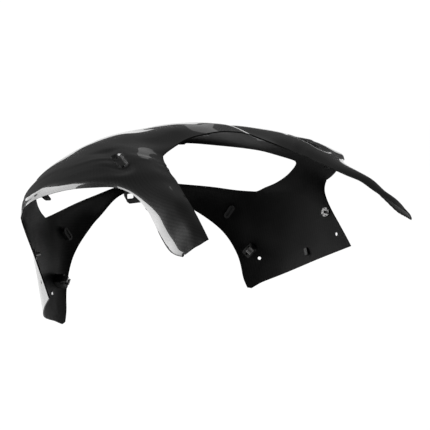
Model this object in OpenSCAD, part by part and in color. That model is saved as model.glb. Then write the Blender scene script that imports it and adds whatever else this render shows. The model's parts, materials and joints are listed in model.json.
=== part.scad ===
// Upper front fairing of a sports motorcycle: one carbon fibre moulding with its bonded fittings.
// X points forward to the nose, Y to the rider's left and Z up. All sizes are in millimetres.
// The skin is a net of stations. Each station is a line on the left half of the mould, from the
// windscreen edge over the brow and on down to the wheel arch. Smooth curves run through the net
// both ways, the lamp opening is left out of it, and the right half is its mirror image.

/* [Skin] */
// Thickness of the carbon skin
skin_t = 2; // [1.6:0.1:3]
// Mesh steps between two stations, from the nose back to the arm's tip
steps_u = 3; // [2:1:4]
// Depth of the mirror recess in each side of the brow
recess_depth = 5; // [2:0.5:8]

/* [Holes] */
// Diameter of the four screw holes in the side panels
screw_d = 6; // [4:0.5:8]
// Diameter of the two mirror screw holes on each side
mirror_screw_d = 6.5; // [5:0.5:9]
// Distance between the two mirror screws
mirror_pitch = 32; // [26:1:36]

/* [Fittings] */
// Sheet thickness of the folded brackets
bracket_t = 2; // [1.5:0.1:3]
// Width of the side tab that hangs under the brow's rear edge
side_tab_w = 24; // [18:1:30]
// Length of the side tab's free leg
side_tab_leg = 22; // [16:1:28]
// Width of the lamp bracket beside the nose
lamp_bracket_w = 18; // [14:1:24]
// Length of the lamp bracket's free leg
lamp_bracket_leg = 27; // [18:1:34]
// Height of the turned boss under the brow
boss_h = 12; // [8:1:16]
// Width over the feet of the saddle bracket under the brow
saddle_w = 34; // [28:1:40]
// Height of the saddle bracket
saddle_h = 12; // [8:1:16]
// Height of the screw block at the front of each hem
block_h = 14; // [10:1:18]
// Length of the raised pad at each wheel arch edge
pad_l = 26; // [20:1:32]
// Diameter of the push nut in each side panel
nut_d = 16; // [12:1:20]
// Length of the clip at the middle of each hem
hem_clip_l = 12; // [8:1:16]
// Width of the centre stay under the nose
stay_w = 60; // [52:1:64]
// Drop of the centre stay below the arch edge
stay_drop = 21; // [18:1:28]
// Diameter of the small screw holes in the brackets
tapping_d = 4.5; // [3:0.5:6]

/* [Hidden] */
// Adhesive gap between a fitting and the skin
bond = 0.3;

// Brow and arm: windscreen edge, five points over the brow and its rolled lower lip
brow = [
  [[-195, 0, 324], [-145, 0, 328], [-70, 0, 323], [5, 0, 309], [68, 0, 291], [110, 0, 269], [121, 0, 255]],
  [[-193, 22, 322], [-140, 23, 328], [-66, 27, 321], [6, 31, 306], [62, 36, 291], [94, 41, 270], [99, 42, 258]],
  [[-189, 50, 317], [-138, 54, 323], [-62, 62, 313], [-2, 70, 305], [46, 78, 289], [83, 87, 272], [82, 87, 264]],
  [[-191, 76, 307], [-148, 84, 307], [-85, 98, 314], [-32, 112, 304], [12, 126, 287], [46, 138, 270], [47, 139, 261]],
  [[-199, 97, 298], [-164, 110, 304], [-118, 134, 308], [-72, 158, 301], [-34, 178, 280], [-6, 194, 261], [-4, 196, 255]],
  [[-207, 102, 295], [-176, 120, 303], [-136, 146, 306], [-96, 176, 297], [-62, 202, 279], [-38, 219, 257], [-35, 220, 247]],
  [[-214, 105, 293], [-184, 126, 302], [-148, 158, 303], [-114, 193, 292], [-88, 223, 276], [-69, 243, 253], [-62, 243, 238]],
  [[-222, 108, 291], [-194, 129, 300], [-160, 163, 302], [-129, 201, 290], [-104, 234, 273], [-85, 259, 246], [-76, 259, 229]],
  [[-230, 110, 289], [-204, 131, 299], [-173, 167, 300], [-144, 207, 288], [-118, 246, 269], [-98, 271, 241], [-88, 271, 221]],
  [[-234, 111, 288], [-209, 132, 298], [-180, 169, 299], [-152, 210, 287], [-126, 250, 266], [-105, 276, 237], [-94, 275, 214]],
  [[-238, 113, 287], [-214, 134, 297], [-186, 171, 297], [-159, 212, 285], [-133, 254, 264], [-111, 280, 233], [-99, 278, 207]],
  [[-247, 115, 286], [-224, 136, 294], [-198, 172, 295], [-174, 211, 284], [-151, 249, 267], [-132, 277, 244], [-126, 280, 229]],
  [[-260, 119, 282], [-240, 138, 290], [-216, 168, 291], [-193, 202, 285], [-171, 237, 272], [-154, 262, 255], [-152, 265, 246]],
  [[-280, 123, 278], [-265, 138, 284], [-250, 158, 285], [-236, 182, 282], [-221, 206, 278], [-206, 227, 271], [-207, 229, 264]],
  [[-300, 128, 273], [-292, 139, 276], [-283, 152, 277], [-274, 166, 275], [-263, 178, 272], [-256, 187, 268], [-257, 189, 260]],
  [[-326, 135, 266], [-325, 144, 269], [-324, 155, 269], [-324, 166, 265], [-325, 176, 257], [-327, 183, 249], [-330, 186, 239]],
  [[-349, 141, 261], [-349, 150, 263], [-349, 160, 262], [-349, 169, 256], [-351, 178, 247], [-352, 185, 238], [-354, 189, 227]],
  [[-373, 145, 251], [-374, 154, 252], [-374, 163, 249], [-375, 171, 242], [-377, 179, 233], [-378, 186, 225], [-380, 191, 214]],
  [[-398, 151, 242], [-398, 159, 242], [-398, 167, 239], [-398, 174, 232], [-399, 181, 224], [-399, 188, 216], [-399, 192, 210]],
  [[-423, 157, 232], [-422, 163, 229], [-420, 168, 225], [-417, 173, 223], [-415, 178, 218], [-412, 183, 215], [-410, 186, 210]]
];
// Below the brow: across the lamp opening, its lower edge, and the panel down to its hem
cheek = [
  [[126, 0, 236], [108, 0, 213], [88, 0, 199], [85, 0, 196], [84, 0, 193], [83, 0, 190], [82, 0, 187]],
  [[101, 38, 238], [92, 36, 214], [82, 38, 198], [80, 39, 194], [79, 40, 190], [78, 41, 186], [77, 42, 181]],
  [[82, 88, 241], [74, 86, 215], [65, 84, 192], [65, 84, 183], [66, 83, 173], [67, 82, 163], [67, 80, 154]],
  [[56, 138, 236], [54, 134, 208], [46, 130, 186], [48, 128, 175], [50, 123, 163], [51, 115, 152], [53, 104, 141]],
  [[14, 184, 230], [24, 176, 200], [30, 168, 179], [33, 164, 160], [35, 158, 140], [34, 152, 120], [31, 147, 102]],
  [[-16, 212, 220], [4, 197, 192], [18, 187, 177], [19, 182, 150], [20, 177, 120], [18, 173, 86], [13, 169, 54]],
  [[-44, 234, 212], [-20, 219, 192], [6, 203, 176], [6, 197, 142], [5, 191, 104], [4, 188, 54], [0, 179, 0]],
  [[-62, 249, 208], [-44, 240, 187], [-20, 226, 172], [-17, 218, 140], [-14, 211, 104], [-10, 208, 56], [-14, 201, 10]],
  [[-78, 262, 203], [-70, 256, 184], [-58, 249, 168], [-52, 243, 140], [-50, 237, 104], [-46, 234, 66], [-48, 231, 32]],
  [[-90, 269, 196], [-92, 266, 178], [-95, 263, 163], [-100, 262, 142], [-104, 260, 120], [-108, 258, 98], [-112, 254, 70]],
  [[-99, 274, 190], [-111, 272, 173], [-126, 271, 158], [-140, 271, 145], [-153, 271, 133], [-167, 271, 120], [-180, 271, 107]]
];
// Mesh steps between the points of a station, closer together over the mirror recess
brow_steps = [3, 4, 3, 2, 2, 1];
cheek_steps = [2, 2, 2, 2, 2, 2, 2];
// Stations that bound the lamp opening, and the number of cheek points down to its lower edge
pillar_station = 1;
corner_station = 6;
sill_points = 3;
// Mirror recess: its front and rear ends in plan, and half its width at each end
recess_front = [-150, 166];
recess_rear = [-222, 172];
recess_narrow = 4;
recess_wide = 8;

// Hermite curve from p1 to p2, with the neighbours p0 and p3 setting its direction at the ends
function unit(v) = v / max(norm(v), 0.001);
function curve(p0, p1, p2, p3, t) =
  let (l = norm(p2 - p1), m1 = unit(p2 - p0) * l, m2 = unit(p3 - p1) * l)
  (2 * t ^ 3 - 3 * t ^ 2 + 1) * p1 + (t ^ 3 - 2 * t ^ 2 + t) * m1
  + (3 * t ^ 2 - 2 * t ^ 3) * p2 + (t ^ 3 - t ^ 2) * m2;
function smooth(line, steps) = let (last = len(line) - 1) [
  for (i = [0 : last - 1]) for (s = [0 : steps[i] - 1])
    curve(line[max(i - 1, 0)], line[i], line[i + 1], line[min(i + 2, last)], s / steps[i]),
  line[last]
];
// The first station lies in the mirror plane, so a mirror image stands before it
function flip(p) = [p.x, -p.y, p.z];
function smooth_half(line) =
  let (all = smooth(concat([flip(line[1])], line), [for (p = line) steps_u]))
  [for (i = [steps_u : len(all) - 1]) all[i]];
function sum(list, n) = n == 0 ? 0 : list[n - 1] + sum(list, n - 1);

// The recess sinks the skin along its own upward slope, deepest on its centre line
function ease(x) = let (c = max(0, min(1, x))) c * c * (3 - 2 * c);
function recess(p) = let (
    run = recess_rear - recess_front, q = [p.x, p.y] - recess_front,
    t = (q * run) / (run * run), off = norm(q - max(0, min(1, t)) * run),
    half = recess_narrow + (recess_wide - recess_narrow) * max(0, min(1, t)))
  recess_depth * ease(1.3 * (1 - off / (half + 11)));
function dish(p) = p.z > 240 ? p - recess(p) * [0, 0.45, 0.9] : p;

front = len(cheek);
lines = [for (i = [0 : len(brow) - 1])
  smooth(i < front ? concat(brow[i], cheek[i]) : brow[i], concat(brow_steps, cheek_steps))];
lip_row = sum(brow_steps, len(brow_steps));
sill = lip_row + sum(cheek_steps, sill_points);
hem = lip_row + sum(cheek_steps, len(cheek_steps));
net = [for (j = [0 : hem]) [for (p =
  smooth_half([for (i = [0 : (j <= lip_row ? len(brow) : front) - 1]) lines[i][j]])) dish(p)]];
pillar = pillar_station * steps_u;
corner = corner_station * steps_u;
panel_end = (front - 1) * steps_u;
arm_end = (len(brow) - 1) * steps_u;

// Points of the net are numbered i from the nose, negative on the right side, and j from the
// windscreen edge outwards
function has(i, j) = j >= 0 && j <= hem && abs(i) <= (j <= lip_row ? arm_end : panel_end);
function pos(i, j) = i < 0 ? flip(net[j][-i]) : net[j][i];
function side(i, j, di, dj) = has(i + di, j + dj) ? pos(i + di, j + dj) : pos(i, j);
function outward(i, j) = unit(cross(side(i, j, 0, 1) - side(i, j, 0, -1),
  side(i, j, 1, 0) - side(i, j, -1, 0)));
function in_skin(i, j) = i < arm_end && (j < lip_row
  || i < panel_end && (j >= sill || i < pillar || i >= corner));
function is_cell(i, j) = j >= 0 && j < hem && in_skin(i < 0 ? -i - 1 : i, j);

width = 2 * arm_end + 1;
slots = [for (j = [0 : hem]) for (i = [-arm_end : arm_end]) [i, j]];
outer = [for (s = slots) has(s[0], s[1]) ? pos(s[0], s[1]) : [0, 0, 100]];
inner = [for (s = slots) has(s[0], s[1]) ? pos(s[0], s[1]) - skin_t * outward(s[0], s[1]) : [0, 0, 100]];
module skin() {
  n = len(slots);
  faces = [for (j = [0 : hem - 1]) for (i = [-arm_end : arm_end - 1]) if (is_cell(i, j))
    let (a = j * width + i + arm_end, b = a + 1, c = b + width, d = a + width)
    each concat(
      [[a, b, c], [a, c, d], [a + n, c + n, b + n], [a + n, d + n, c + n]],
      is_cell(i, j - 1) ? [] : [[a, a + n, b + n], [a, b + n, b]],
      is_cell(i, j + 1) ? [] : [[c, c + n, d + n], [c, d + n, d]],
      is_cell(i - 1, j) ? [] : [[d, d + n, a + n], [d, a + n, a]],
      is_cell(i + 1, j) ? [] : [[b, b + n, c + n], [b, c + n, c]])];
  polyhedron(concat(outer, inner), faces, convexity = 8);
}
// The origin is under the middle of the whole moulding, level with its lowest point
xs = [for (p = concat(outer, inner)) p.x];
zs = [for (p = concat(outer, inner)) p.z];
centre = [(min(xs) + max(xs)) / 2, 0, min(zs)];
module placed() translate(-centre) children();

// Places its children on the inner face of the skin on the left, with Z pointing into the fairing,
// X towards the rear and Y down the station. Station and row count in whole steps of the net.
function between(i, j, a, b) = a > b
  ? pos(i, j) + a * (pos(i + 1, j) - pos(i, j)) + b * (pos(i + 1, j + 1) - pos(i + 1, j))
  : pos(i, j) + b * (pos(i, j + 1) - pos(i, j)) + a * (pos(i + 1, j + 1) - pos(i, j + 1));
function spot(s, j) = let (u = s * steps_u, i = floor(u), k = floor(j)) between(i, k, u - i, j - k);
function frame_at(s, j) = let (
    i = floor(s * steps_u), k = floor(j),
    du = pos(i + 1, k) + pos(i + 1, k + 1) - pos(i, k) - pos(i, k + 1),
    dv = pos(i, k + 1) + pos(i + 1, k + 1) - pos(i, k) - pos(i + 1, k),
    z = unit(cross(du, dv)), x = unit(du - (du * z) * z))
  [x, cross(z, x), z];
// The skin curves towards a flat foot of radius r, which is lifted until its edge clears it
function lift(s, j, r) = let (z = frame_at(s, j)[2], p = spot(s, j))
  max([for (a = [-1 : 1 / 16 : 1]) for (b = [-2 : 1 / 8 : 2])
    if (s + a > 0 && j + b > 0 && has(floor((s + a) * steps_u) + 1, floor(j + b) + 1))
      let (d = spot(s + a, j + b) - p) norm(cross(d, z)) < r ? d * z : 0]);
module on_skin(s, j, r = 0) {
  f = frame_at(s, j);
  p = spot(s, j) + (skin_t + bond + (r > 0 ? lift(s, j, r) : 0)) * f[2];
  multmatrix([[f[0].x, f[1].x, f[2].x, p.x], [f[0].y, f[1].y, f[2].y, p.y],
    [f[0].z, f[1].z, f[2].z, p.z], [0, 0, 0, 1]]) children();
}
module right() mirror([0, 1, 0]) children();
// A true round hole through the skin, square to it
module skin_hole(s, j, d) on_skin(s, j) translate([0, 0, -3 * skin_t - bond])
  cylinder(h = 5 * skin_t, d = d, $fn = 32);
// The foot of the mirror has two parallel screws
module mirror_holes() for (k = [-1, 1]) on_skin(10.2, 6.35)
  translate([k * mirror_pitch / 2, 0, -4 * skin_t - bond])
    cylinder(h = 7 * skin_t, d = mirror_screw_d, $fn = 32);

module outline(w, l, r) {
  square([w - 2 * r, l], center = true);
  square([w, l - 2 * r], center = true);
  for (x = [-1, 1]) for (y = [-1, 1]) translate([x * (w / 2 - r), y * (l / 2 - r)]) circle(r, $fn = 32);
}
// Sheet folded to a right angle: the foot lies on the skin and the leg stands into the fairing
module rounded(l, h, r) {
  translate([0, r]) square([l, h - r]);
  square([l - r, h]);
  translate([l - r, r]) circle(r, $fn = 48);
}
module angle_bracket(w, foot, leg, taper) {
  bend = 2 * bracket_t;
  intersection() {
    rotate([90, 0, 90]) translate([-foot / 2, 0, -w / 2]) linear_extrude(w) difference() {
      rounded(foot, leg, bend);
      translate([-1, bracket_t]) rounded(foot + 1 - bracket_t, leg, bend - bracket_t);
    }
    rotate([90, 0, 0]) translate([0, 0, -foot]) linear_extrude(2 * foot)
      polygon([[-w / 2, -1], [w / 2, -1], [w / 2, bend + 2], [w / 2 - taper, leg - 2],
        [w / 2 - taper - 2, leg], [2 + taper - w / 2, leg], [taper - w / 2, leg - 2], [-w / 2, bend + 2]]);
  }
}

tab_foot = 14;
module side_tab() color("#2a2c30") on_skin(10.2, lip_row - 2.6, tab_foot / 2 + 3) difference() {
  angle_bracket(side_tab_w, tab_foot, side_tab_leg, 3);
  for (x = [-1, 1]) translate([x * side_tab_w / 5, 0, side_tab_leg - 7]) rotate([-90, 0, 0])
    cylinder(h = 20, d = tapping_d, $fn = 24);
}

lamp_foot = 16;
module lamp_bracket() color("#33363b") on_skin(1.45, 10.2, lamp_bracket_w / 2) difference() {
  angle_bracket(lamp_bracket_w, lamp_foot, lamp_bracket_leg, 2);
  translate([0, 0, lamp_bracket_leg - 8]) rotate([-90, 0, 0])
    cylinder(h = 20, d = tapping_d + 1, $fn = 24);
}

module brow_boss() color("#26282c") on_skin(2.35, 10, 9) rotate_extrude($fn = 48)
  polygon([[tapping_d / 2, 0], [9, 0], [9, 2], [6.5, 3], [6, boss_h], [tapping_d / 2, boss_h]]);

module brow_saddle() color("#33363b") on_skin(4.05, 10, saddle_w / 2 - 0.6) difference() {
  rotate([90, 0, 0]) translate([0, 0, -8]) linear_extrude(16) difference() {
    polygon([[-saddle_w / 2, 0], [saddle_w / 2, 0], [saddle_w / 2, bracket_t],
      [saddle_w / 2 - 7, bracket_t], [saddle_w / 2 - 10, saddle_h],
      [10 - saddle_w / 2, saddle_h], [7 - saddle_w / 2, bracket_t], [-saddle_w / 2, bracket_t]]);
    polygon([[-saddle_w / 2 + 9, -1], [saddle_w / 2 - 9, -1],
      [saddle_w / 2 - 12, saddle_h - bracket_t], [12 - saddle_w / 2, saddle_h - bracket_t]]);
  }
  cylinder(h = saddle_h + 1, d = tapping_d, $fn = 24);
}

block_w = 16;
block_l = 22;
block_at = [5.95, 26.4];
// The screw hole lies beside the spring clip, which covers the rest of the block
block_hole = 7;
module hem_block() color("#202226") on_skin(block_at[0], block_at[1], block_l / 2 + 1) difference() {
  linear_extrude(block_h) outline(block_w, block_l, 2.5);
  translate([0, block_hole, block_h - 8]) cylinder(h = 10, d = tapping_d, $fn = 24);
  translate([-block_w, -block_l / 2 + 4, block_h - 5]) cube([2 * block_w, 3, 10]);
}
module block_clip() color("#8a8d92") on_skin(block_at[0], block_at[1], block_l / 2 + 1)
  translate([0, -4, block_h + bond]) rotate([90, 0, 90]) translate([0, 0, -5]) linear_extrude(10) difference() {
    polygon([[-6, 0], [6, 0], [8, 3], [6, 7], [-4, 7], [-6, 3]]);
    polygon([[-4.5, 1.2], [5.4, 1.2], [6.6, 3], [5.2, 5.8], [-3, 5.8], [-4.6, 3]]);
    translate([-1, 5]) square([4, 3]);
  }

module arch_pad() color("#202226") on_skin(4.1, 24.9, pad_l / 2) difference() {
  linear_extrude(5) outline(10, pad_l, 4.9);
  translate([0, 0, 3]) linear_extrude(3) outline(4, pad_l - 8, 1.9);
}

module push_nut() color("#4a4d52") on_skin(9.5, 21.8, nut_d / 2) {
  difference() {
    cylinder(h = 1.4, d = nut_d, $fn = 48);
    for (a = [0 : 60 : 300]) rotate(a) translate([nut_d / 2 - 2.5, -1, -1]) cube([4, 2, 4]);
  }
  cylinder(h = 8, d = 5, $fn = 32);
}

module hem_clip() color("#2a2c30") on_skin(8.65, 27.5, hem_clip_l / 2 + 1)
  rotate([90, 0, 90]) translate([0, 0, -3]) linear_extrude(6) difference() {
    polygon([[-hem_clip_l / 2, 0], [hem_clip_l / 2, 0], [hem_clip_l / 2, 5], [-hem_clip_l / 2, 3]]);
    translate([-hem_clip_l / 2 + 2, 1.2]) square([hem_clip_l, 1]);
  }

// Plate with two loops, bonded behind the middle of the nose's lower bar to carry the lamp's centre
bar_top = pos(0, sill).z;
bar_low = pos(0, hem).z;
function bar_x(y, j) = lookup(y, [for (i = [0 : pillar]) [pos(i, j).y, pos(i, j).x]]);
stay_x = min([for (j = [sill : hem]) bar_x(stay_w / 2, j)]) - skin_t - bond;
module centre_stay() color("#33363b") translate([stay_x - bracket_t, 0, 0]) rotate([90, 0, 90])
  linear_extrude(bracket_t) difference() {
    polygon([[-stay_w / 2, bar_top - 3], [-stay_w / 2, bar_low - 6],
      [6 - stay_w / 2, bar_low - stay_drop + 3], [10 - stay_w / 2, bar_low - stay_drop],
      [stay_w / 2 - 10, bar_low - stay_drop], [stay_w / 2 - 6, bar_low - stay_drop + 3],
      [stay_w / 2, bar_low - 6], [stay_w / 2, bar_top - 3]]);
    for (y = [-1, 1]) translate([y * 0.3 * stay_w, bar_low - 0.36 * stay_drop]) outline(12.5, 9, 2);
  }

module fairing_shell() color("#1b1c1f") difference() {
  skin();
  for (m = [0, 1]) mirror([0, m, 0]) {
    skin_hole(6.7, 27, screw_d);
    skin_hole(9.7, 26.1, screw_d);
    mirror_holes();
  }
}

placed() fairing_shell();
placed() centre_stay();
placed() side_tab();  // side_tab_left
placed() right() side_tab();  // side_tab_right
placed() lamp_bracket();  // lamp_bracket_left
placed() right() lamp_bracket();  // lamp_bracket_right
placed() brow_boss();  // brow_boss_left
placed() right() brow_boss();  // brow_boss_right
placed() brow_saddle();  // brow_saddle_left
placed() right() brow_saddle();  // brow_saddle_right
placed() hem_block();  // hem_block_left
placed() right() hem_block();  // hem_block_right
placed() block_clip();  // block_clip_left
placed() right() block_clip();  // block_clip_right
placed() arch_pad();  // arch_pad_left
placed() right() arch_pad();  // arch_pad_right
placed() push_nut();  // push_nut_left
placed() right() push_nut();  // push_nut_right
placed() hem_clip();  // hem_clip_left
placed() right() hem_clip();  // hem_clip_right
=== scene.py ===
import bpy
import bmesh
import json
import math
from mathutils import Matrix, Vector


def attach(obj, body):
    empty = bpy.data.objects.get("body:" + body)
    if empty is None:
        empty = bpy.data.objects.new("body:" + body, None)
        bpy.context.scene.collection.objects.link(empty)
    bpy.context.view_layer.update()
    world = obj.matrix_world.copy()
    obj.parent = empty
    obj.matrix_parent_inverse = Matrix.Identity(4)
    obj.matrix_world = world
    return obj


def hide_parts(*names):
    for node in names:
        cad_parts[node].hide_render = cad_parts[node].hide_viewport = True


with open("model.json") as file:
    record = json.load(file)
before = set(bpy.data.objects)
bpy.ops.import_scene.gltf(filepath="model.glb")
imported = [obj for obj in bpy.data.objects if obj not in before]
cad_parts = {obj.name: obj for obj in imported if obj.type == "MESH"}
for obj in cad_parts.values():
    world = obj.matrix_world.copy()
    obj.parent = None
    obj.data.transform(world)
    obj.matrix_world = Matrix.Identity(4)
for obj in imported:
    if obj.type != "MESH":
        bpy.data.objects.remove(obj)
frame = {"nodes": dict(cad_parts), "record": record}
nodes = frame["nodes"]
mounts = {row["name"]: row for row in frame["record"]["mounts"]}
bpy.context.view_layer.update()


# Moulding: one carbon fibre laminate, laid up in a split mould. Its outside has a deep clear
# coat over twill cloth, and its inside shows the satin bag side of the same cloth. The brow,
# rear arms, nose bar and side panels are all one piece, with trimmed and sanded edges.

class Field:
    """A node socket that takes part in arithmetic."""

    def __init__(self, finish, socket):
        self.finish = finish
        self.socket = socket

    def math(self, operation, *values):
        return self.finish.node("ShaderNodeMath", {"operation": operation}, dict(enumerate(values)))

    def __add__(self, other):
        return self.math("ADD", self, other)

    def __sub__(self, other):
        return self.math("SUBTRACT", self, other)

    def __rsub__(self, other):
        return self.math("SUBTRACT", other, self)

    def __mul__(self, other):
        return self.math("MULTIPLY", self, other)

    def __truediv__(self, other):
        return self.math("DIVIDE", self, other)

    def __lt__(self, other):
        return self.math("LESS_THAN", self, other)


class Finish:
    """A material built up from nodes around one Principled shader."""

    def __init__(self, name, **constants):
        self.material = bpy.data.materials.new(name)
        self.material.use_nodes = True
        self.tree = self.material.node_tree
        self.shader = self.tree.nodes["Principled BSDF"]
        for socket, value in constants.items():
            self.shader.inputs[socket.replace("_", " ")].default_value = value

    def node(self, kind, settings=None, values=None, output=0):
        made = self.tree.nodes.new(kind)
        for name, value in (settings or {}).items():
            setattr(made, name, value)
        for name, value in (values or {}).items():
            if isinstance(value, Field):
                self.tree.links.new(value.socket, made.inputs[name])
            else:
                made.inputs[name].default_value = value
        return Field(self, made.outputs[output])

    def drive(self, **fields):
        for socket, field in fields.items():
            self.tree.links.new(field.socket, self.shader.inputs[socket.replace("_", " ")])

    def between(self, low, high, amount):
        """A colour part of the way from low to high."""
        return self.node("ShaderNodeMix", {"data_type": "RGBA"}, {0: amount, 6: low, 7: high}, output=2)

    def bump(self, height, distance, strength):
        values = {"Height": height, "Distance": distance, "Strength": strength}
        return self.node("ShaderNodeBump", None, values)


def grey(value, warm=0.0):
    return (value * (1 + warm), value, value * (1 - warm), 1.0)


def twill(finish, tow):
    """Two-over-two twill on the cloth map, which is in metres. Returns where the warp lies on
    top, and how far the cloth rises there."""
    place = finish.node("ShaderNodeUVMap", {"uv_map": "cloth"})
    across = finish.node("ShaderNodeSeparateXYZ", None, {0: place}) / tow
    along = finish.node("ShaderNodeSeparateXYZ", None, {0: place}, output=1) / tow
    step = across.math("FLOOR", across) + along.math("FLOOR", along)
    warp = step.math("FLOORED_MODULO", step, 4.0) < 1.5
    u = across.math("FRACT", across) * 2 - 1
    v = along.math("FRACT", along) * 2 - 1
    crown = (1 - u * u) * warp + (1 - v * v) * (1 - warp)
    return warp, crown


def clouds(finish, scale, detail):
    place = finish.node("ShaderNodeTexCoord", None, None, output=3)
    return finish.node("ShaderNodeTexNoise", None, {"Vector": place, "Scale": scale, "Detail": detail})


def linked(faces):
    """Groups of faces that hang together by their corners."""
    left = dict.fromkeys(faces)
    groups = []
    while left:
        front = [left.popitem()[0]]
        group = list(front)
        while front:
            for vert in front.pop().verts:
                near = [face for face in vert.link_faces if face in left]
                for face in near:
                    del left[face]
                front += near
                group += near
        groups.append(group)
    return groups


def bored(sheet, mount):
    """The walls of a mount's holes, each with the middle of its hole and the hole's radius."""
    centre = Vector(mount["pos_m"])
    axis = Vector(mount["axis"])
    size = mount["dims"]
    radius = size.get("r_mm", size.get("hole_r_mm")) / 1000
    reach = size.get("pcd_mm", 0) / 2000 + 2 * radius
    walls = [face for face in sheet.faces if (face.calc_center_median() - centre).length < reach
             and abs(face.normal.dot(axis)) < 0.3]
    found = []
    for group in linked(walls):
        middles = [face.calc_center_median() + face.normal * radius for face in group]
        middle = sum(middles, Vector()) / len(middles) - centre
        found.append((group, centre + middle - middle.dot(axis) * axis, axis, radius))
    return found


def outer_skin(sheet, thickness, holes):
    """Leaves the outside of the solid shell, as an open sheet of quads with its holes closed."""
    rims = [dict.fromkeys(vert for face in hole[0] for vert in face.verts) for hole in holes]
    walls = dict.fromkeys(face for hole in holes for face in hole[0])
    edges = [face for face in sheet.faces if face not in walls
             and any(abs(edge.calc_length() - thickness) < 1e-6 for edge in face.edges)]
    bmesh.ops.delete(sheet, geom=list(walls) + edges, context="FACES_ONLY")
    top = max(sheet.faces, key=lambda face: face.calc_center_median().z * (face.normal.z > 0.5))
    outside = {top}
    front = [top]
    while front:
        for edge in front.pop().edges:
            fresh = [face for face in edge.link_faces if face not in outside]
            outside.update(fresh)
            front += fresh
    bmesh.ops.delete(sheet, geom=[face for face in sheet.faces if face not in outside], context="FACES")
    for rim in rims:
        kept = [vert for vert in rim if vert.is_valid and vert.link_faces]
        loop = dict.fromkeys(edge for vert in kept for edge in vert.link_edges if edge.is_boundary)
        bmesh.ops.holes_fill(sheet, edges=list(loop), sides=0)
        bmesh.ops.dissolve_verts(sheet, verts=kept)
    loose = [vert for vert in sheet.verts if not vert.link_faces]
    bmesh.ops.delete(sheet, geom=loose, context="VERTS")
    triangles = [face for face in sheet.faces if len(face.verts) == 3]
    bmesh.ops.join_triangles(sheet, faces=triangles, angle_face_threshold=math.radians(80),
                             angle_shape_threshold=math.radians(100), topology_influence=1.5)


def trimmed_edges(sheet):
    """The closed edges of an open sheet, each as its vertices in order, the longest edge first."""
    left = dict.fromkeys(vert for vert in sheet.verts if vert.is_boundary)
    rings = []
    while left:
        ring = [left.popitem()[0]]
        ahead = ring
        while ahead:
            ahead = [edge.other_vert(ring[-1]) for edge in ring[-1].link_edges
                     if edge.is_boundary and edge.other_vert(ring[-1]) in left][:1]
            for vert in ahead:
                del left[vert]
                ring.append(vert)
        rings.append(ring)
    return sorted(rings, key=len, reverse=True)


def eased(share):
    """A share held between 0 and 1, with soft ends."""
    share = max(0.0, min(1.0, share))
    return share * share * (3 - 2 * share)


def true_up(sheet, arch_corner, arm_end):
    """Creases the folds and outer corners, so that smoothing keeps them, narrows the lip where the
    brow turns into the arm, and straightens the trimmed ends of the arms."""
    fold_angle = math.radians(38)
    corner_angle = math.radians(145)
    averaging_turns = 4
    lip_reach = 0.070
    lip_fade = 0.045
    fold = sheet.edges.layers.float.new("crease_edge")
    corner = sheet.verts.layers.float.new("crease_vert")
    for edge in sheet.edges:
        if len(edge.link_faces) == 2 and edge.calc_face_angle(0) > fold_angle:
            edge[fold] = 0.45
    outline = trimmed_edges(sheet)[0]
    flowing = []
    for k, vert in enumerate(outline):
        before = outline[k - 1]
        after = outline[(k + 1) % len(outline)]
        if (before.co - vert.co).angle(after.co - vert.co) < corner_angle:
            vert[corner] = 1.0
        elif vert.co.x < arm_end:
            flowing.append((before, vert, after))
    for turn in range(averaging_turns):
        for before, vert, after in flowing:
            vert.co = vert.co * 0.5 + (before.co + after.co) * 0.25
    for vert in outline:
        off = (Vector((vert.co.x, abs(vert.co.y), vert.co.z)) - arch_corner).length
        pull = 0.8 * eased((lip_reach - off) / lip_fade)
        for edge in vert.link_edges:
            if pull > 0 and not edge.is_boundary:
                vert.co = vert.co.lerp(edge.other_vert(vert).co, pull)


def add_object(name, mesh):
    made = bpy.data.objects.new(name, mesh)
    bpy.context.scene.collection.objects.link(made)
    return made


def settle(piece):
    """Applies a piece's modifiers."""
    bpy.context.view_layer.update()
    shaped = bpy.data.meshes.new_from_object(piece.evaluated_get(bpy.context.evaluated_depsgraph_get()))
    piece.modifiers.clear()
    piece.data = shaped


skin_thickness = 0.002
arch_corner = Vector((-0.125, 0.189, 0.256))
arm_end = -0.235
sheet = bmesh.new()
sheet.from_mesh(nodes["fairing_shell"].data)
bmesh.ops.remove_doubles(sheet, verts=sheet.verts, dist=2e-6)
screw_rows = [row for name, row in mounts.items() if name.startswith(("panel_screw", "mirror_screw"))]
holes = [hole for row in screw_rows for hole in bored(sheet, row)]
outer_skin(sheet, skin_thickness, holes)
true_up(sheet, arch_corner, arm_end)
skin_mesh = bpy.data.meshes.new("fairing_skin")
sheet.to_mesh(skin_mesh)
sheet.free()
skin = add_object("fairing_skin", skin_mesh)

# The cloth is laid over the mould without a seam, so its weave follows one unwrapping of the skin.
# The map is brought to metres by the length of the skin's own edges.
bpy.context.view_layer.objects.active = skin
skin.select_set(True)
skin.data.uv_layers.new(name="cloth")
bpy.ops.object.mode_set(mode="EDIT")
bpy.ops.mesh.select_all(action="SELECT")
bpy.ops.uv.unwrap(method="MINIMUM_STRETCH", fill_holes=False, margin=0, iterations=30)
bpy.ops.object.mode_set(mode="OBJECT")
cloth = skin.data.uv_layers["cloth"]
laid = 0.0
real = 0.0
for polygon in skin.data.polygons:
    first, second = list(polygon.loop_indices)[:2]
    laid += (cloth.data[first].uv - cloth.data[second].uv).length
    real += (skin.data.vertices[skin.data.loops[first].vertex_index].co
             - skin.data.vertices[skin.data.loops[second].vertex_index].co).length
for loop in cloth.data:
    loop.uv *= real / laid

smoother = skin.modifiers.new("fair", "SUBSURF")
smoother.levels = 2
smoother.render_levels = 2
smoother.boundary_smooth = "PRESERVE_CORNERS"
settle(skin)

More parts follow.
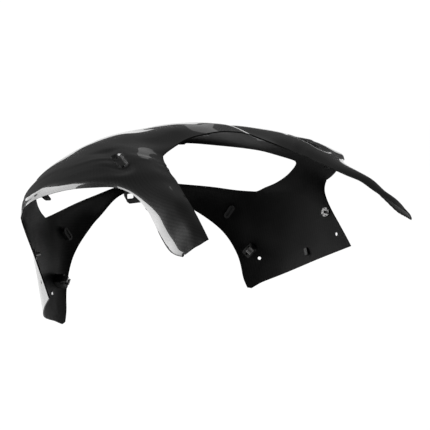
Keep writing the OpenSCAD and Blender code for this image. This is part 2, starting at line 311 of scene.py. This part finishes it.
# Each mirror foot seats in an oval pressed round its two screws, with a raised bead for its gasket
fine_reach = 0.034
foot_reach = 0.020
oval_edge = 0.0075
oval_slope = 0.0035
oval_depth = 0.0018
bead_line = 0.0082
bead_width = 0.0016
bead_height = 0.0010


def beside_a_foot(edge):
    middle = (edge.verts[0].co + edge.verts[1].co) / 2
    return any((middle - (one + other) / 2).length < fine_reach for one, other, axis in mirror_feet)


mirror_feet = []
for row in screw_rows:
    if row["kind"] == "bolt_pattern":
        centre = Vector(row["pos_m"])
        pair = [hole[1] for hole in holes if (hole[1] - centre).length < foot_reach]
        mirror_feet.append((pair[0], pair[1], Vector(row["axis"])))
pressed = bmesh.new()
pressed.from_mesh(skin.data)
near = [edge for edge in pressed.edges if beside_a_foot(edge)]
bmesh.ops.subdivide_edges(pressed, edges=near, cuts=1, use_grid_fill=True)
pressed.normal_update()
for vert in pressed.verts:
    for one, other, axis in mirror_feet:
        run = other - one
        part = max(0.0, min(1.0, (vert.co - one).dot(run) / run.length_squared))
        away = vert.co - one - part * run
        if away.length < foot_reach:
            off = (away - away.dot(axis) * axis).length
            bead = bead_height * math.exp(-((off - bead_line) / bead_width) ** 2)
            vert.co += vert.normal * (bead - oval_depth * eased((oval_edge - off) / oval_slope))

# The mould turns the outer edge of each arm inwards
arm_start = -0.135
arm_outside = 0.184
turned_in = 0.0017
for vert in trimmed_edges(pressed)[0]:
    if vert.co.x < arm_start and abs(vert.co.y) > arm_outside:
        vert.co -= vert.normal * turned_in
pressed.to_mesh(skin.data)
pressed.free()

wall = skin.modifiers.new("laminate", "SOLIDIFY")
wall.thickness = skin_thickness
wall.offset = -1
wall.use_even_offset = True
wall.thickness_clamp = 0
wall.material_offset = 1
wall.material_offset_rim = 1
wall.use_quality_normals = True

drill_length = 0.020
drills = bmesh.new()
for group, middle, axis, radius in holes:
    turn = Vector((0, 0, 1)).rotation_difference(axis).to_matrix().to_4x4()
    bmesh.ops.create_cone(drills, cap_ends=True, segments=32, radius1=radius, radius2=radius,
                          depth=drill_length, matrix=Matrix.Translation(middle) @ turn)
drill_mesh = bpy.data.meshes.new("drills")
drills.to_mesh(drill_mesh)
drills.free()
drill = add_object("drills", drill_mesh)
cut = skin.modifiers.new("screw_holes", "BOOLEAN")
cut.operation = "DIFFERENCE"
cut.solver = "EXACT"
cut.object = drill

# Clear-coated cloth on the outside. Each tow is a low crown that catches the light along its length,
# and its colour also holds a painted sheen, lighter on the warp tows and on each tow's crown
tow_width = 0.0016
gloss = Finish("carbon_gloss", Roughness=0.4, Metallic=0.5, Coat_Weight=1.0, Coat_Roughness=0.03,
               Coat_IOR=1.6, IOR=1.5)
warp, crown = twill(gloss, tow_width)
# Painted sheen: the warp tows and the crowns of the tows are painted lighter than the weft, in place of
# their reflection
gloss.drive(Base_Color=gloss.between(grey(0.004), grey(0.013), warp * 0.6 + crown * 0.4),
            Normal=gloss.bump(crown, 0.0001, 0.4))
# Satin inside: the same cloth under a thin, uneven skin of resin, whose colour varies at random, with a
# painted sheen lighter on the warp tows and tow crowns
satin = Finish("carbon_satin", Roughness=0.5, Specular_IOR_Level=0.12, IOR=1.5)
warp, crown = twill(satin, tow_width)
resin = clouds(satin, 22.0, 4.0)
# Colour: random resin tone, plus painted sheen that lightens the warp tows and each tow's crown
satin.drive(Base_Color=satin.between(grey(0.003), grey(0.009), warp * 0.4 + crown * 0.3 + resin * 0.3),
            Roughness=resin * 0.25 + 0.34, Normal=satin.bump(crown * 0.6 + resin * 0.5, 0.0003, 0.45))
skin.data.materials.clear()
skin.data.materials.append(gloss.material)
skin.data.materials.append(satin.material)
settle(skin)
bpy.data.objects.remove(drill)
skin.data.shade_smooth()
if "sharp_edge" not in skin.data.attributes:
    skin.data.attributes.new("sharp_edge", "BOOLEAN", "EDGE")
crisp_angle = math.radians(35)
probe = bmesh.new()
probe.from_mesh(skin.data)
crisp = [len(edge.link_faces) == 2 and edge.calc_face_angle(0) > crisp_angle for edge in probe.edges]
skin.data.attributes["sharp_edge"].data.foreach_set("value", crisp)
probe.free()
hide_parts("fairing_shell")
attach(skin, "root")


# Brackets, tabs and the centre stay: folded and punched sheet, satin black, bonded to the inside
# of the moulding with a bead of adhesive. The lamp and its side lugs are screwed to their legs.

def finish_nodes(finish, *kinds):
    for name, node in nodes.items():
        if name.startswith(kinds):
            node.data.materials.clear()
            node.data.materials.append(finish.material)


bracket_black = Finish("bracket_black", Coat_Weight=0.15, Coat_Roughness=0.3, IOR=1.5)
wear = clouds(bracket_black, 180.0, 5.0)
bracket_black.drive(Base_Color=bracket_black.between(grey(0.010), grey(0.030), wear),
                    Roughness=wear * 0.25 + 0.32, Normal=bracket_black.bump(wear, 0.0002, 0.4))
finish_nodes(bracket_black, "side_tab", "lamp_bracket", "brow_saddle", "centre_stay")


# Hem blocks, arch pads, brow bosses and hem clips: moulded black plastic with a fine spark
# grain, bonded inside the side panels and under the brow.

moulded_black = Finish("moulded_black", IOR=1.46)
grain = clouds(moulded_black, 900.0, 2.0)
tone = clouds(moulded_black, 60.0, 3.0)
moulded_black.drive(Base_Color=moulded_black.between(grey(0.011), grey(0.026), tone),
                    Roughness=tone * 0.2 + 0.45, Normal=moulded_black.bump(grain, 0.00012, 0.5))
finish_nodes(moulded_black, "hem_block", "arch_pad", "brow_boss", "hem_clip")


# Spring clips and push nuts: zinc-plated spring steel, dulled by handling. The clips sit on the
# hem blocks, and the nuts are pressed on the studs of the side panels.

dull_zinc = Finish("dull_zinc", Metallic=1.0)
haze = clouds(dull_zinc, 260.0, 4.0)
dull_zinc.drive(Base_Color=dull_zinc.between(grey(0.16, 0.02), grey(0.34), haze),
                Roughness=haze * 0.3 + 0.3, Normal=dull_zinc.bump(haze, 0.0001, 0.3))
finish_nodes(dull_zinc, "block_clip", "push_nut")


# Studio: a wide roll of white paper, laid under the moulding and up the wall behind it, a large
# softbox on the moulding's left and a weak, narrow one on its right, ahead of its nose. The room
# around them is dim, which keeps the clear coat black between them.

def paper_sheet(name, corners):
    mesh = bpy.data.meshes.new(name)
    mesh.from_pydata(corners, [], [(0, 1, 2, 3)])
    made = add_object(name, mesh)
    made.data.materials.append(paper.material)


paper = Finish("white_paper", Base_Color=(0.9, 0.9, 0.9, 1), Roughness=0.9)
camera_ray = paper.node("ShaderNodeLightPath")
glossy_ray = paper.node("ShaderNodeLightPath", output=3)
clear_ray = paper.node("ShaderNodeLightPath", output=6)
glow = paper.node("ShaderNodeEmission", None, {"Color": (1, 1, 1, 1), "Strength": 1.13})
shaded = Field(paper, paper.shader.outputs[0])
seen = (camera_ray + glossy_ray + clear_ray) * 0.88
blend = paper.node("ShaderNodeMixShader", None, {0: seen, 1: shaded, 2: glow})
paper.tree.links.new(blend.socket, paper.tree.nodes["Material Output"].inputs["Surface"])
# The paper lies square to the camera, whose right-hand side is this way along the floor
right = Vector((-0.5197, -0.8543, 0))
paper_half = right * 1.4
paper_front = Vector((-0.318, 0.174, -0.16))
paper_rear = paper_front + Vector((-right.y, right.x, 0)) * 4.4
paper_top = paper_rear + Vector((0, 0, 0.77))
paper_sheet("floor", [paper_front + paper_half, paper_rear + paper_half,
                      paper_rear - paper_half, paper_front - paper_half])
paper_sheet("backdrop", [paper_rear + paper_half, paper_top + paper_half,
                         paper_top - paper_half, paper_rear - paper_half])

world = bpy.data.worlds.new("studio")
bpy.context.scene.world = world
world.use_nodes = True
air = world.node_tree.nodes["Background"]
air.inputs["Color"].default_value = (1, 1, 1, 1)
air.inputs["Strength"].default_value = 0.09


def softbox(name, azimuth, elevation, distance, width, height, radiance):
    """A lamp that faces the moulding from an azimuth and elevation."""
    turned = math.radians(azimuth)
    raised = math.radians(elevation)
    level = math.cos(raised)
    outward = Vector((level * math.cos(turned), level * math.sin(turned), math.sin(raised)))
    sideways = Vector((-math.sin(turned), math.cos(turned), 0))
    upright = outward.cross(sideways)
    lamp = bpy.data.lights.new(name, "AREA")
    lamp.shape = "RECTANGLE"
    lamp.size = width
    lamp.size_y = height
    lamp.energy = radiance * math.pi * width * height
    made = add_object(name, lamp)
    made.location = outward * distance + Vector((0, 0, 0.15))
    made.rotation_euler = Matrix((upright.cross(outward), upright, outward)).transposed().to_euler()


softbox("key", 62, 17, 3.0, 2.8, 2.3, 6.5)
softbox("rim", -30, 22, 3.5, 0.32, 1.5, 0.3)

camera = bpy.data.cameras.new("camera")
camera.sensor_width = 36.0
camera.lens = 75.35
camera.clip_start = 0.01
viewer = add_object("camera", camera)
viewer.location = (-1.1725, 0.694, 0.5043)
up = Vector((0.1927, -0.1172, 0.9742))
back = Vector((-0.8323, 0.5064, 0.2256))
viewer.rotation_euler = Matrix((right, up, back)).transposed().to_euler()
bpy.context.scene.camera = viewer
bpy.context.scene.view_settings.view_transform = "Standard"
